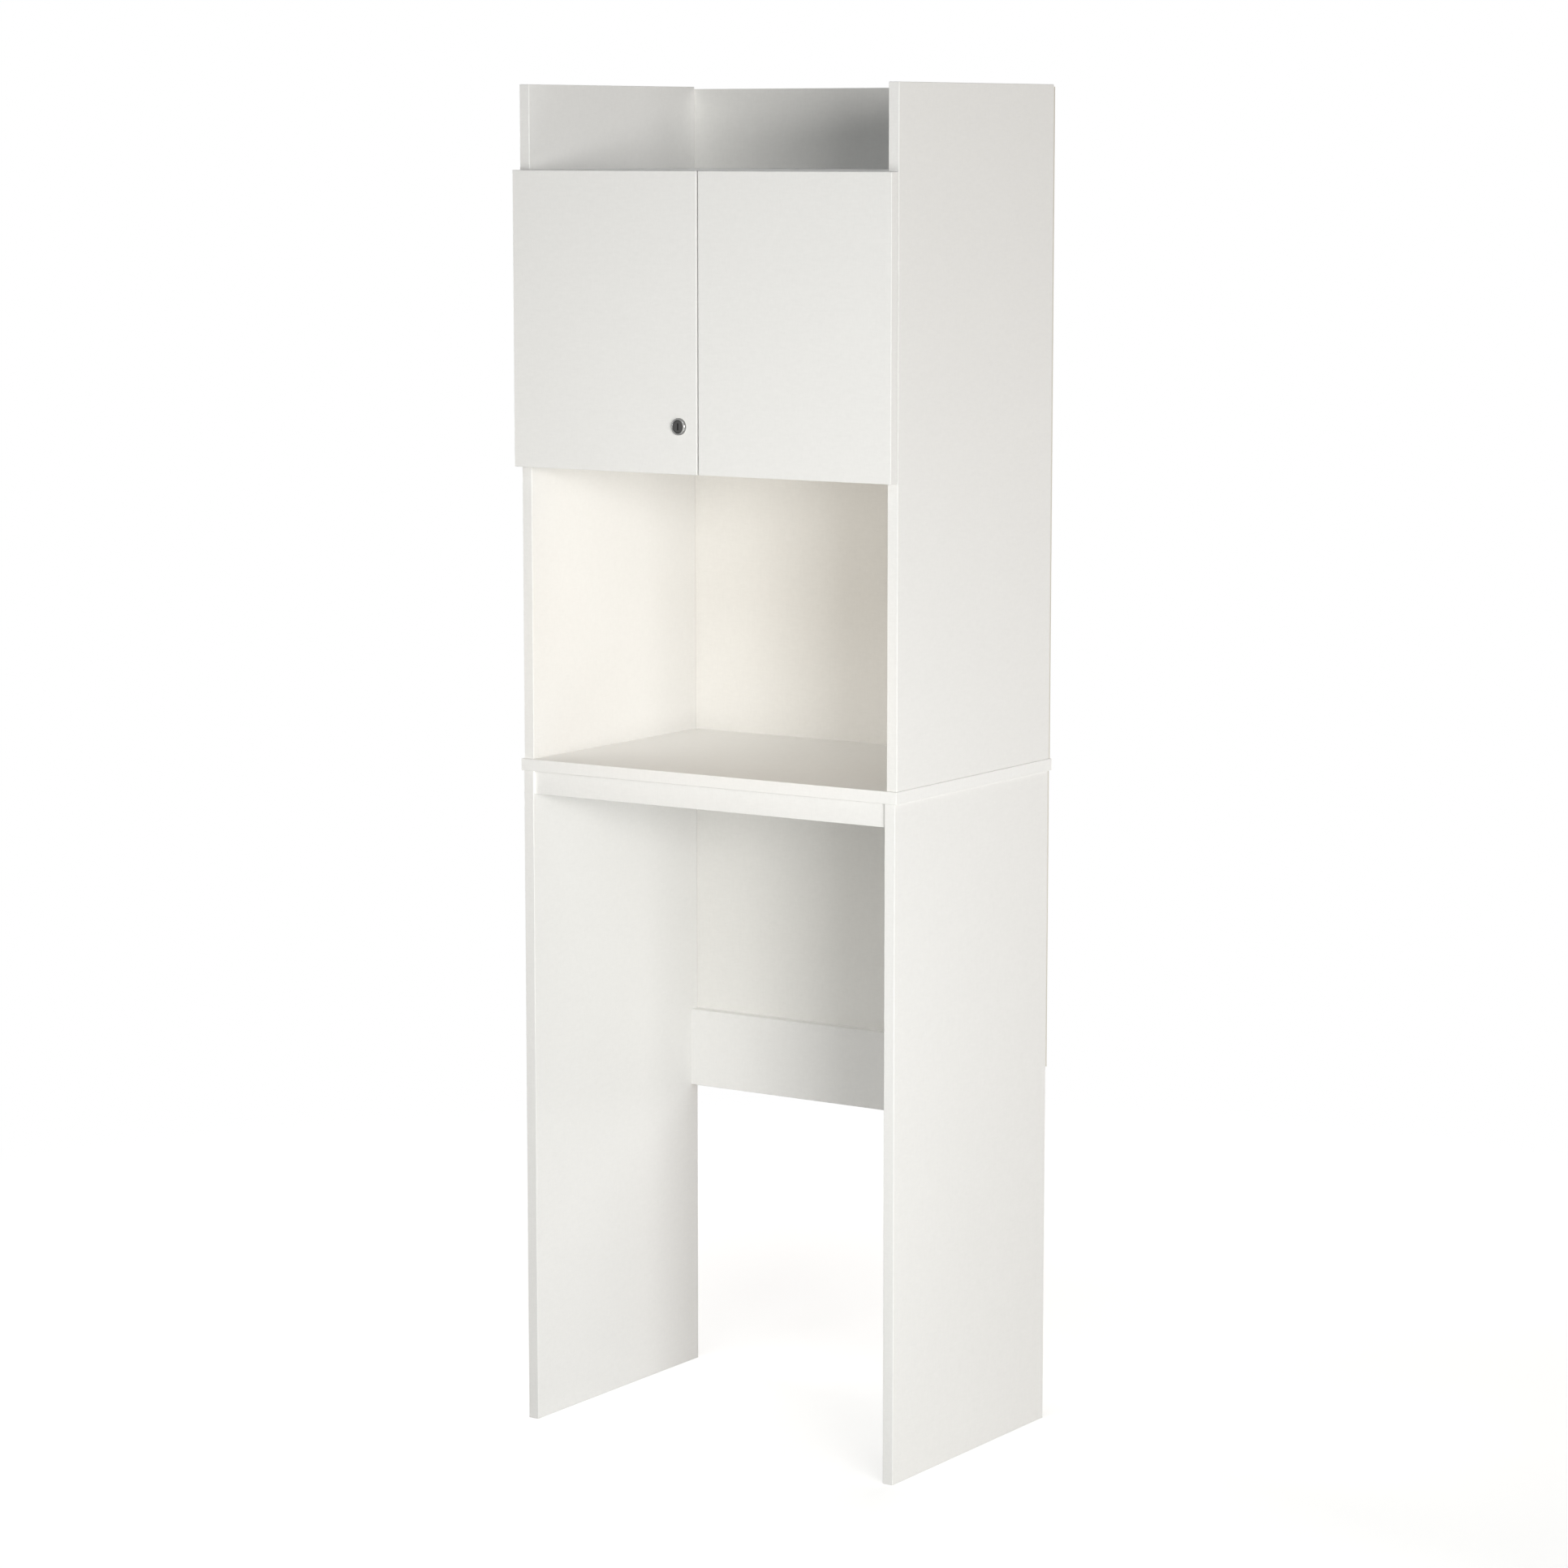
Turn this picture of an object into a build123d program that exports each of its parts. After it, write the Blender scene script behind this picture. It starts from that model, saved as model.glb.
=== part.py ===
from build123d import *
import os

# A tall free-standing cabinet for a small refrigerator, made of white laminated board.
# From the floor up: an open base that stands over the refrigerator, a worktop with an open
# bay for an oven, a locked cupboard with two plain doors, and an open tray on top.
# Millimetres. X runs across the width, -Y is the front, +Z is up.
# The origin is on the floor, under the middle of the whole outline.

# Boards
board_t = 15.9
worktop_t = 16.5
hardboard_t = 3.0
arris_r = 0.9

# Base: a little narrower than the hutch on each side, and a little further forward
base_side_inset = 1.2
base_side_proud = 3.0
base_side_h = 910.0
front_rail_h = 31.8
front_rail_setback = 3.6
back_rail_h = 110.6
back_rail_low = 409.5
base_back_low = 497.8

# Worktop
worktop_side_overhang = 2.1
worktop_front_overhang = 4.9
worktop_back_overhang = 4.8

# Hutch, the upper half
hutch_width = 600.0
hutch_side_h = 910.0
hutch_depth = 390.5
hutch_back_drop = 3.0
bay_h = 400.8
cupboard_h = 364.4

# Doors
door_gap = 1.5
door_seam = 2.4
door_overlap = 1.5
door_below_tray = 0.5

# Adjustable shelf and its pins
shelf_setback = 20.0
shelf_back_clear = 4.0
shelf_side_clear = 1.0
shelf_z_in_cupboard = 172.0
pin_hole_pitch = 64.0
pin_hole_inset = 60.0
pin_r = 2.5
pin_hole_depth = 10.0
pin_peg_r = 3.5
pin_peg_len = 9.0

# Cam joints, dowels, worktop screws and back nails
cam_r = 7.4
cam_depth = 12.2
cam_setback = 24.0
cam_slot_w = 1.6
cam_bolt_r = 2.5
cam_bolt_in_side = 11.0
cam_head_r = 3.3
cam_neck_r = 2.0
cam_neck_len = 3.6
cam_head_len = 2.4
joint_inset = 55.0
dowel_r = 4.0
dowel_in_side = 10.0
dowel_in_member = 18.0
dowel_in_worktop = 7.0
worktop_screw_r = 2.5
worktop_screw_len = 50.0
worktop_screw_head_r = 4.6
nail_r = 0.9
nail_len = 18.0
nail_head_r = 2.4
nail_head_t = 0.7
fit_clear = 0.05

# Lock on the left door
lock_from_edge = 28.4
lock_from_bottom = 63.0
lock_bezel_r = 11.4
lock_bezel_t = 3.6
lock_bezel_round = 2.3
lock_barrel_r = 9.5
lock_behind_door = 6.8
lock_nut_flats = 24.0
lock_nut_t = 4.0
plug_face_r = 8.4
plug_face_t = 4.0
plug_face_sunk = 0.6
lock_mouth_r = 8.9
plug_body_r = 6.8
plug_drive_w = 7.4
keyway_w = 1.5
keyway_h = 9.5
keyway_depth = 12.0
cam_hub_r = 7.5
cam_run_clear = 0.1
cam_arm_w = 12.0
cam_arm_t = 2.0
cam_arm_reach = 38.0
strike_w = 30.0
strike_t = 2.0
strike_h = 26.0
strike_foot = 24.0
strike_clear = 0.5
strike_screw_share = 0.6

# Bolt on the inside of the right door
bolt_from_edge = 30.0
bolt_standoff = 9.5
bolt_rod_r = 3.0
bolt_rod_len = 52.0
bolt_stroke = 12.0
bolt_above_board = 2.0
bolt_guide_w = 15.0
bolt_guide_h = 44.0
bolt_guide_low = 4.0
bolt_plate_w = 29.0
bolt_plate_t = 1.5
bolt_knob_r = 2.6
bolt_knob_len = 8.0
bolt_knob_share = 0.65
bolt_slot_clear = 0.3
bolt_hole_clear = 0.5

# Door bumpers
bumper_r = 4.5
bumper_from_edge = 17.0
bumper_clear = 0.1

# Small screws
small_screw_r = 1.6
small_screw_head_r = 3.2
small_screw_head_t = 1.8
small_screw_slot_w = 0.8
small_screw_in = 12.0
short_screw_in = 8.0

# Hinges, two to a door
hinge_from_door_end = 70.0
cup_from_edge = 21.5
cup_r = 17.5
cup_depth = 11.3
cup_rim_r = 18.2
cup_rim_t = 0.8
cup_ear_r = 5.5
cup_screw_apart = 48.0
cup_screw_back = 6.0
cavity_r = 16.3
cavity_h = 18.0
cavity_depth = 10.6
hinge_pin_r = 0.8
cup_pin_len = 21.0

# Pins and bends of the hinge links, as distances in from the side's inner face and back from
# its front edge, with the door closed. The outer links turn -0.375 and the inner ones -0.68 of
# the door's angle, which holds the inner links within pin_drift of their pins on the arm.
outer_arm_pin = (18.0, 13.17)
outer_cup_pin = (-7.18, -2.36)
inner_arm_pin = (6.24, -1.88)
inner_cup_pin = (-6.52, -5.16)
outer_link_bends = [(12.6, 2.4), (9.4, -2.6), (7.6, -4.6), (-0.6, -4.7)]
inner_link_bends = [(5.6, -4.0), (5.3, -7.4), (1.8, -10.3), (-6.3, -10.3), (-7.9, -8.6), (-7.9, -6.6)]
pin_drift = 0.35
link_t = 1.4
cup_eye_r = 1.4
outer_arm_eye_r = 1.9
inner_arm_eye_r = 1.95
outer_link_w = 5.2
fork_inside_w = 5.8
fork_plate_t = 1.2

# Hinge arm, as the same kind of points, and the plate it sits on
arm_inside_w = 8.8
arm_wall_t = 1.2
arm_nose = [(3.9, -1.9), (4.6, -3.6), (6.2, -4.2), (7.9, -3.6), (8.6, -2.2), (13.2, 3.4), (20.2, 11.0)]
arm_back = [(20.2, 18.0), (13.6, 30.0), (13.6, 60.0), (9.0, 60.0), (9.0, 12.0), (5.0, 2.0)]
arm_mouth = [(0.0, 61.0), (0.0, -10.0), (25.0, -10.0), (25.0, 15.6)]
arm_under_web = [(19.0, 15.6), (19.0, 17.7), (12.4, 29.7), (12.4, 61.0)]
plate_t = 2.0
plate_front = 20.0
plate_h = 18.0
plate_screw_back = 37.0
plate_screw_apart = 32.0
plate_ear_r = 5.5
plate_block_from = 31.0
arm_screw_backs = (36.0, 50.0)

# Heights and depths that follow from these
top_of_worktop = base_side_h + worktop_t
top_of_hutch = top_of_worktop + hutch_side_h
cupboard_floor = top_of_worktop + bay_h + board_t
cupboard_ceiling = cupboard_floor + cupboard_h
tray_floor = cupboard_ceiling + board_t
door_low = cupboard_floor - board_t - door_overlap
door_high = tray_floor - door_below_tray
hutch_half = hutch_width / 2
base_half = hutch_half - base_side_inset
base_inner = base_half - board_t
hutch_inner = hutch_half - board_t

# The outline runs from the lock's bezel to the worktop's back edge, and is centred on Y
reach_front = door_gap + board_t + lock_bezel_t
reach_back = hutch_depth + worktop_back_overhang
front_y = (reach_front - reach_back) / 2
hutch_back_y = front_y + hutch_depth
base_front_y = front_y - base_side_proud
base_back_y = hutch_back_y
door_back_y = front_y - door_gap
door_front_y = door_back_y - board_t

hands = (-1, 1)
sides = {"left": -1, "right": 1}
os.makedirs("parts", exist_ok=True)


def save(part, name):
    part.label = name
    export_step(part, f"parts/{name}.step")
    print(name, len(part.solids()), round(part.volume))


def block(x, y, z, mode=Mode.ADD):
    """A box between two values of X, of Y and of Z."""
    with Locations((min(x), min(y), min(z))):
        low_corner = (Align.MIN, Align.MIN, Align.MIN)
        Box(abs(x[1] - x[0]), abs(y[1] - y[0]), abs(z[1] - z[0]), align=low_corner, mode=mode)


def rod(radius, length, mode=Mode.ADD, out=True):
    """A cylinder that starts on the seat plane and runs out of it, or into it."""
    Cylinder(radius, length, align=(Align.CENTER, Align.CENTER, Align.MIN if out else Align.MAX), mode=mode)


def seat(x, y, z, *direction):
    """A plane to drill into or to stand a rod on. Its own X runs along X, or along Y if it faces X."""
    return Plane(origin=(x, y, z), x_dir=(0, 1, 0) if direction[0] else (1, 0, 0), z_dir=direction)


# Seats of the hidden fasteners. Each one is a plane on the face that the fastener crosses.
def on_sides(half_width, points):
    """Seats on the inner faces of both sides, looking at the middle of the cabinet."""
    return [seat(hand * half_width, y, z, -hand, 0, 0) for hand in hands for y, z in points]


def on_ends(half_width, points):
    """The same places, seen as the end faces of the member between the sides."""
    return [seat(hand * half_width, y, z, hand, 0, 0) for hand in hands for y, z in points]


joint_ys = (front_y + joint_inset, hutch_back_y - joint_inset)
joint_mid_y = (joint_ys[0] + joint_ys[1]) / 2
shelf_mids = (cupboard_floor - board_t / 2, tray_floor - board_t / 2)
shelf_cam_points = [(y, z) for z in shelf_mids for y in joint_ys]
shelf_dowel_points = [(joint_mid_y, z) for z in shelf_mids]

rail_front_y = base_front_y + front_rail_setback
rail_mid_y = rail_front_y + board_t / 2
rail_low = base_side_h - front_rail_h
front_rail_cam_points = [(rail_mid_y, base_side_h - front_rail_h / 3)]
front_rail_dowel_points = [(rail_mid_y, rail_low + front_rail_h / 4)]

back_rail_mid_y = base_back_y - board_t / 2
back_rail_mid_z = back_rail_low + back_rail_h / 2
back_rail_cam_points = [(back_rail_mid_y, back_rail_mid_z + end * back_rail_h / 5) for end in hands]
back_rail_dowel_points = [(back_rail_mid_y, back_rail_mid_z)]

base_side_mid_x = base_half - board_t / 2
hutch_side_mid_x = hutch_half - board_t / 2
worktop_screw_ys = (joint_ys[0] + joint_inset, joint_ys[1] - joint_inset)

# Nails of the two thin backs, as (x, z)
nail_rows = 4
hutch_back_high = top_of_hutch - hutch_back_drop
hutch_nail_step = (hutch_back_high - top_of_worktop) / nail_rows
base_nail_step = (base_side_h - base_back_low) / nail_rows
hutch_side_nail_zs = [top_of_worktop + hutch_nail_step * (row + 0.5) for row in range(nail_rows)]
base_side_nail_zs = [base_back_low + base_nail_step * (row + 0.5) for row in range(nail_rows)]
hutch_shelf_nails = [(column * hutch_half / 2, z) for z in shelf_mids for column in (-1, 0, 1)]
back_rail_nail_z = (base_back_low + back_rail_low + back_rail_h) / 2
back_rail_nails = [(column * base_half / 2, back_rail_nail_z) for column in (-1, 0, 1)]


def hutch_side_nails(hand):
    return [(hand * hutch_side_mid_x, z) for z in hutch_side_nail_zs]


def base_side_nails(hand):
    return [(hand * base_side_mid_x, z) for z in base_side_nail_zs]


def nail_seats(points, y):
    return [seat(x, y, z, 0, 1, 0) for x, z in points]


# Seats that more than one piece needs
base_dowel_seats = [
    seat(hand * base_side_mid_x, y, base_side_h, 0, 0, -1)
    for hand in hands
    for y in joint_ys
]
hutch_dowel_seats = [
    seat(hand * hutch_side_mid_x, y, top_of_worktop, 0, 0, 1)
    for hand in hands
    for y in joint_ys
]
worktop_screw_seats = [
    seat(hand * base_side_mid_x, y, top_of_worktop, 0, 0, 1)
    for hand in hands
    for y in worktop_screw_ys
]
base_nails = base_side_nails(-1) + base_side_nails(1) + back_rail_nails
hutch_nails = hutch_side_nails(-1) + hutch_side_nails(1) + hutch_shelf_nails


def shelf_cam_seats(mid_z):
    cam_x = hutch_inner - cam_setback
    return [seat(hand * cam_x, y, mid_z - board_t / 2, 0, 0, -1) for hand in hands for y in joint_ys]


def rail_cam_seats(points, face_y):
    cam_x = base_inner - cam_setback
    return [seat(hand * cam_x, face_y, z, 0, 1, 0) for hand in hands for y, z in points]


front_rail_cam_seats = rail_cam_seats(front_rail_cam_points, rail_front_y + board_t)
back_rail_cam_seats = rail_cam_seats(back_rail_cam_points, base_back_y)
cam_seats = front_rail_cam_seats + back_rail_cam_seats
for mid_z in shelf_mids:
    cam_seats = cam_seats + shelf_cam_seats(mid_z)

# Adjustable shelf and its pins
shelf_low = cupboard_floor + shelf_z_in_cupboard
pin_z = shelf_low - pin_peg_r
pin_ys = (front_y + pin_hole_inset, hutch_back_y - pin_hole_inset)
pin_hole_points = [(y, pin_z + row * pin_hole_pitch) for y in pin_ys for row in (-1, 0, 1)]

# Lock, along its axis from front to back
lock_x = -(door_seam / 2 + lock_from_edge)
lock_z = door_low + lock_from_bottom
bezel_front_y = door_front_y - lock_bezel_t
housing_back_y = door_back_y + lock_behind_door
cam_front_y = housing_back_y + cam_run_clear
cam_back_y = cam_front_y + cam_arm_t
strike_y = cam_front_y - strike_clear - strike_t


def lock_seat(y):
    return seat(lock_x, y, lock_z, 0, 1, 0)


def strike_screw_seats(lift):
    y = strike_y + strike_foot * strike_screw_share
    return [seat(lock_x + end * strike_w / 4, y, cupboard_floor + lift, 0, 0, 1) for end in hands]


# Bolt
bolt_x = door_seam / 2 + bolt_from_edge
bolt_y = door_back_y + bolt_standoff
bolt_seat = seat(bolt_x, bolt_y, cupboard_floor, 0, 0, 1)
bolt_rod_low = cupboard_floor + bolt_above_board
knob_z = bolt_rod_low + bolt_rod_len * bolt_knob_share
guide_z = (cupboard_floor + bolt_guide_low, cupboard_floor + bolt_guide_low + bolt_guide_h)


def bolt_screw_seats(lift):
    x = (bolt_guide_w + bolt_plate_w) / 4
    z = (guide_z[0] + guide_z[1]) / 2
    rise = bolt_guide_h / 3
    return [seat(bolt_x + i * x, door_back_y + lift, z + k * rise, 0, 1, 0) for i in hands for k in hands]


# Hinges
hinge_zs = (door_low + hinge_from_door_end, door_high - hinge_from_door_end)
plate_len = 2 * (plate_screw_back - plate_front)
arm_web_in = arm_under_web[-1][0]
arm_web_out = arm_web_in + arm_wall_t


def at(hand, point):
    """A point of the hinges, given from the side's inner face and front edge, in the cabinet's frame."""
    return (hand * (hutch_inner - point[0]), front_y + point[1])


def cup_seats(hand):
    return [seat(hand * (hutch_half - cup_from_edge), door_back_y, z, 0, 1, 0) for z in hinge_zs]


def cup_screw_seats(hand, lift):
    x = hand * (hutch_half - cup_from_edge - cup_screw_back)
    rise = cup_screw_apart / 2
    return [seat(x, door_back_y + lift, z + end * rise, 0, 1, 0) for z in hinge_zs for end in hands]


def plate_screw_seats(hand, lift):
    x = hand * (hutch_inner - lift)
    rise = plate_screw_apart / 2
    y = front_y + plate_screw_back
    return [seat(x, y, z + end * rise, -hand, 0, 0) for z in hinge_zs for end in hands]


def arm_screw_seats(hand, lift):
    x = hand * (hutch_inner - lift)
    return [seat(x, front_y + back, z, -hand, 0, 0) for z in hinge_zs for back in arm_screw_backs]


def pin_seats(hand, *points):
    return [seat(*at(hand, point), z, 0, 0, 1) for point in points for z in hinge_zs]


def bent_bar(points):
    """A strip of link, seen from its edge, with rounded corners."""
    for start, end in zip(points, points[1:]):
        middle = ((start[0] + end[0]) / 2, (start[1] + end[1]) / 2)
        SlotCenterPoint(middle, end, link_t)


def eye(point, radius, hole_radius):
    with Locations(point):
        Circle(radius)
        Circle(hole_radius, mode=Mode.SUBTRACT)


def screw_head(shank_radius, head_radius, mode=Mode.ADD):
    """A countersunk head whose flat top lies on the seat."""
    low = (Align.CENTER, Align.CENTER, Align.MAX)
    Cone(shank_radius, head_radius, head_radius - shank_radius, align=low, mode=mode)


def pilots(seats):
    with Locations(*seats):
        Hole(small_screw_r + fit_clear, small_screw_in + fit_clear)


def small_screws(seats, through, hold=small_screw_in):
    """Round-headed screws that pass through one piece and hold in the next."""
    with BuildPart() as screws:
        with Locations(*seats):
            rod(small_screw_r, through + hold, out=False)
            rod(small_screw_head_r, small_screw_head_t)
            with Locations(Location((0, 0, small_screw_head_t))):
                Box(small_screw_head_r, small_screw_slot_w, small_screw_head_t, mode=Mode.SUBTRACT)
    return screws.part


# Holes that several pieces share
def drill_ends(half_width, cam_points, dowel_points):
    """Holes in both ends of a member, for its cam bolts and its dowels."""
    with Locations(*on_ends(half_width, cam_points)):
        Hole(cam_head_r + fit_clear, cam_setback)
    with Locations(*on_ends(half_width, dowel_points)):
        Hole(dowel_r + fit_clear, dowel_in_member)


def drill_side(hand, half_width, cam_points, dowel_points):
    """The holes that face them, in the side on one hand."""
    with Locations(*[seat(hand * half_width, y, z, -hand, 0, 0) for y, z in cam_points]):
        Hole(cam_bolt_r + fit_clear, cam_bolt_in_side)
    with Locations(*[seat(hand * half_width, y, z, -hand, 0, 0) for y, z in dowel_points]):
        Hole(dowel_r + fit_clear, dowel_in_side)


def drill_cams(seats):
    with Locations(*seats):
        Hole(cam_r + fit_clear, cam_depth + fit_clear)


def drill_nails(points, y, depth):
    with Locations(*nail_seats(points, y)):
        Hole(nail_r + fit_clear, depth)


nail_in_board = nail_len - hardboard_t

# Base sides: they stand straight on the floor
for name, hand in sides.items():
    with BuildPart() as base_side:
        block((hand * base_inner, hand * base_half), (base_front_y, base_back_y), (0, base_side_h))
        fillet(base_side.edges() - base_side.edges().group_by(Axis.Z)[-1], arris_r)
        rail_cam_points = front_rail_cam_points + back_rail_cam_points
        drill_side(hand, base_inner, rail_cam_points, front_rail_dowel_points + back_rail_dowel_points)
        with Locations(*[seat(hand * base_side_mid_x, y, base_side_h, 0, 0, 1) for y in joint_ys]):
            Hole(dowel_r + fit_clear, dowel_in_member)
        with Locations(*[seat(hand * base_side_mid_x, y, base_side_h, 0, 0, 1) for y in worktop_screw_ys]):
            Hole(worktop_screw_r + fit_clear, worktop_screw_len - worktop_t + fit_clear)
        drill_nails(base_side_nails(hand), base_back_y, nail_in_board + fit_clear)
    save(base_side.part, f"base_{name}_side")

# Rails between the base sides, and the thin back nailed on behind them
with BuildPart() as front_rail:
    block((-base_inner, base_inner), (rail_front_y, rail_front_y + board_t), (rail_low, base_side_h))
    fillet(front_rail.edges().filter_by(Axis.X).group_by(Axis.Z)[0], arris_r)
    drill_cams(front_rail_cam_seats)
    drill_ends(base_inner, front_rail_cam_points, front_rail_dowel_points)
save(front_rail.part, "front_rail")

with BuildPart() as back_rail:
    back_rail_z = (back_rail_low, back_rail_low + back_rail_h)
    block((-base_inner, base_inner), (base_back_y - board_t, base_back_y), back_rail_z)
    fillet(back_rail.edges().filter_by(Axis.X).group_by(Axis.Y)[0], arris_r)
    drill_cams(back_rail_cam_seats)
    drill_ends(base_inner, back_rail_cam_points, back_rail_dowel_points)
    drill_nails(back_rail_nails, base_back_y, nail_in_board + fit_clear)
save(back_rail.part, "back_rail")

with BuildPart() as base_back:
    back_y = (base_back_y, base_back_y + hardboard_t)
    block((-base_half, base_half), back_y, (base_back_low, base_side_h))
    drill_nails(base_nails, base_back_y + hardboard_t, hardboard_t)
save(base_back.part, "base_back_panel")

# Worktop
with BuildPart() as worktop:
    worktop_half = hutch_half + worktop_side_overhang
    worktop_y = (front_y - worktop_front_overhang, hutch_back_y + worktop_back_overhang)
    block((-worktop_half, worktop_half), worktop_y, (base_side_h, top_of_worktop))
    fillet(worktop.edges(), arris_r)
    with Locations(*base_dowel_seats, *hutch_dowel_seats):
        Hole(dowel_r + fit_clear, dowel_in_worktop + fit_clear)
    with Locations(*worktop_screw_seats):
        Hole(worktop_screw_r + fit_clear, worktop_t)
        screw_head(worktop_screw_r + fit_clear, worktop_screw_head_r + fit_clear, Mode.SUBTRACT)
save(worktop.part, "worktop")

# Hutch sides
for name, hand in sides.items():
    with BuildPart() as hutch_side:
        hutch_z = (top_of_worktop, top_of_hutch)
        block((hand * hutch_inner, hand * hutch_half), (front_y, hutch_back_y), hutch_z)
        fillet(hutch_side.edges() - hutch_side.edges().group_by(Axis.Z)[0], arris_r)
        drill_side(hand, hutch_inner, shelf_cam_points, shelf_dowel_points)
        with Locations(*[seat(hand * hutch_side_mid_x, y, top_of_worktop, 0, 0, -1) for y in joint_ys]):
            Hole(dowel_r + fit_clear, dowel_in_member)
        with Locations(*[seat(hand * hutch_inner, y, z, -hand, 0, 0) for y, z in pin_hole_points]):
            Hole(pin_r + fit_clear, pin_hole_depth + fit_clear)
        pilots(plate_screw_seats(hand, 0))
        drill_nails(hutch_side_nails(hand), hutch_back_y, nail_in_board + fit_clear)
    save(hutch_side.part, f"hutch_{name}_side")

# The two fixed boards of the hutch, with their cam fittings on the underside
for name, mid_z in {"cabinet_bottom": shelf_mids[0], "cabinet_top": shelf_mids[1]}.items():
    with BuildPart() as fixed_board:
        board_z = (mid_z - board_t / 2, mid_z + board_t / 2)
        block((-hutch_inner, hutch_inner), (front_y, hutch_back_y), board_z)
        fillet(fixed_board.edges().filter_by(Axis.X).group_by(Axis.Y)[0], arris_r)
        drill_cams(shelf_cam_seats(mid_z))
        drill_ends(hutch_inner, [(y, mid_z) for y in joint_ys], [(joint_mid_y, mid_z)])
        board_nails = [(x, z) for x, z in hutch_shelf_nails if z == mid_z]
        drill_nails(board_nails, hutch_back_y, nail_in_board + fit_clear)
        if name == "cabinet_bottom":
            with Locations(bolt_seat):
                Hole(bolt_rod_r + bolt_hole_clear, bolt_stroke)
            pilots(strike_screw_seats(0))
    save(fixed_board.part, name)

with BuildPart() as hutch_back:
    back_y = (hutch_back_y, hutch_back_y + hardboard_t)
    block((-hutch_half, hutch_half), back_y, (top_of_worktop, hutch_back_high))
    drill_nails(hutch_nails, hutch_back_y + hardboard_t, hardboard_t)
save(hutch_back.part, "hutch_back_panel")

# Adjustable shelf on four pins
with BuildPart() as adjustable_shelf:
    shelf_half = hutch_inner - shelf_side_clear
    shelf_y = (front_y + shelf_setback, hutch_back_y - shelf_back_clear)
    block((-shelf_half, shelf_half), shelf_y, (shelf_low, shelf_low + board_t))
    fillet(adjustable_shelf.edges().filter_by(Axis.X), arris_r)
save(adjustable_shelf.part, "adjustable_shelf")

with BuildPart() as shelf_pins:
    with Locations(*on_sides(hutch_inner, [(y, pin_z) for y in pin_ys])):
        rod(pin_r, pin_hole_depth, out=False)
        rod(pin_peg_r, pin_peg_len)
save(shelf_pins.part, "shelf_pins")

# Cam fittings: each turns on the head of its bolt and draws the joint together
with BuildPart() as cam_fittings:
    with Locations(*cam_seats):
        rod(cam_r, cam_depth, out=False)
        Box(cam_r, cam_slot_w, 2 * cam_slot_w, mode=Mode.SUBTRACT)
        with Locations(Location((0, 0, -board_t / 2))):
            Cylinder(cam_head_r + fit_clear, 2 * cam_r, rotation=(0, 90, 0), mode=Mode.SUBTRACT)
save(cam_fittings.part, "cam_fittings")

# Cam bolts: screwed into the sides, each with a necked head for its cam
with BuildPart() as cam_bolts:
    cam_bolt_seats = on_sides(base_inner, front_rail_cam_points + back_rail_cam_points)
    with Locations(*cam_bolt_seats, *on_sides(hutch_inner, shelf_cam_points)):
        rod(cam_bolt_r, cam_bolt_in_side, out=False)
        rod(cam_neck_r, cam_setback)
        rod(cam_head_r, cam_setback - cam_head_len - cam_neck_len)
        with Locations(Location((0, 0, cam_setback))):
            rod(cam_head_r, cam_head_len, out=False)
save(cam_bolts.part, "cam_bolts")

with BuildPart() as dowels:
    rail_dowel_seats = on_sides(base_inner, front_rail_dowel_points + back_rail_dowel_points)
    with Locations(*rail_dowel_seats, *on_sides(hutch_inner, shelf_dowel_points)):
        rod(dowel_r, dowel_in_side, out=False)
        rod(dowel_r, dowel_in_member)
    with Locations(*base_dowel_seats, *hutch_dowel_seats):
        rod(dowel_r, dowel_in_worktop, out=False)
        rod(dowel_r, dowel_in_member)
save(dowels.part, "dowels")

# Countersunk screws through the worktop, hidden under the hutch sides
with BuildPart() as worktop_screws:
    with Locations(*worktop_screw_seats):
        rod(worktop_screw_r, worktop_screw_len, out=False)
        screw_head(worktop_screw_r, worktop_screw_head_r)
        Box(worktop_screw_head_r, small_screw_slot_w, 2 * small_screw_slot_w, mode=Mode.SUBTRACT)
save(worktop_screws.part, "worktop_screws")

with BuildPart() as back_nails:
    base_nail_seats = nail_seats(base_nails, base_back_y + hardboard_t)
    with Locations(*base_nail_seats, *nail_seats(hutch_nails, hutch_back_y + hardboard_t)):
        rod(nail_r, nail_len, out=False)
        rod(nail_head_r, nail_head_t)
save(back_nails.part, "back_panel_nails")

# Doors, with the bores for the hinge cups, the lock and the bolt's screws
for name, hand in sides.items():
    with BuildPart() as door:
        block((hand * door_seam / 2, hand * hutch_half), (door_front_y, door_back_y), (door_low, door_high))
        fillet(door.edges(), arris_r)
        with Locations(*cup_seats(hand)):
            Hole(cup_r + fit_clear, cup_depth + fit_clear)
        pilots(cup_screw_seats(hand, 0))
        if name == "left":
            with Locations(lock_seat(door_back_y)):
                Hole(lock_barrel_r + fit_clear, board_t)
        else:
            pilots(bolt_screw_seats(0))
    save(door.part, f"{name}_door")

    with BuildPart() as bumpers:
        bumper_x = hand * (door_seam / 2 + bumper_from_edge)
        with Locations(*[seat(bumper_x, door_back_y, z, 0, 1, 0) for z in shelf_mids]):
            rod(bumper_r, door_gap - bumper_clear)
    save(bumpers.part, f"{name}_door_bumpers")

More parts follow.
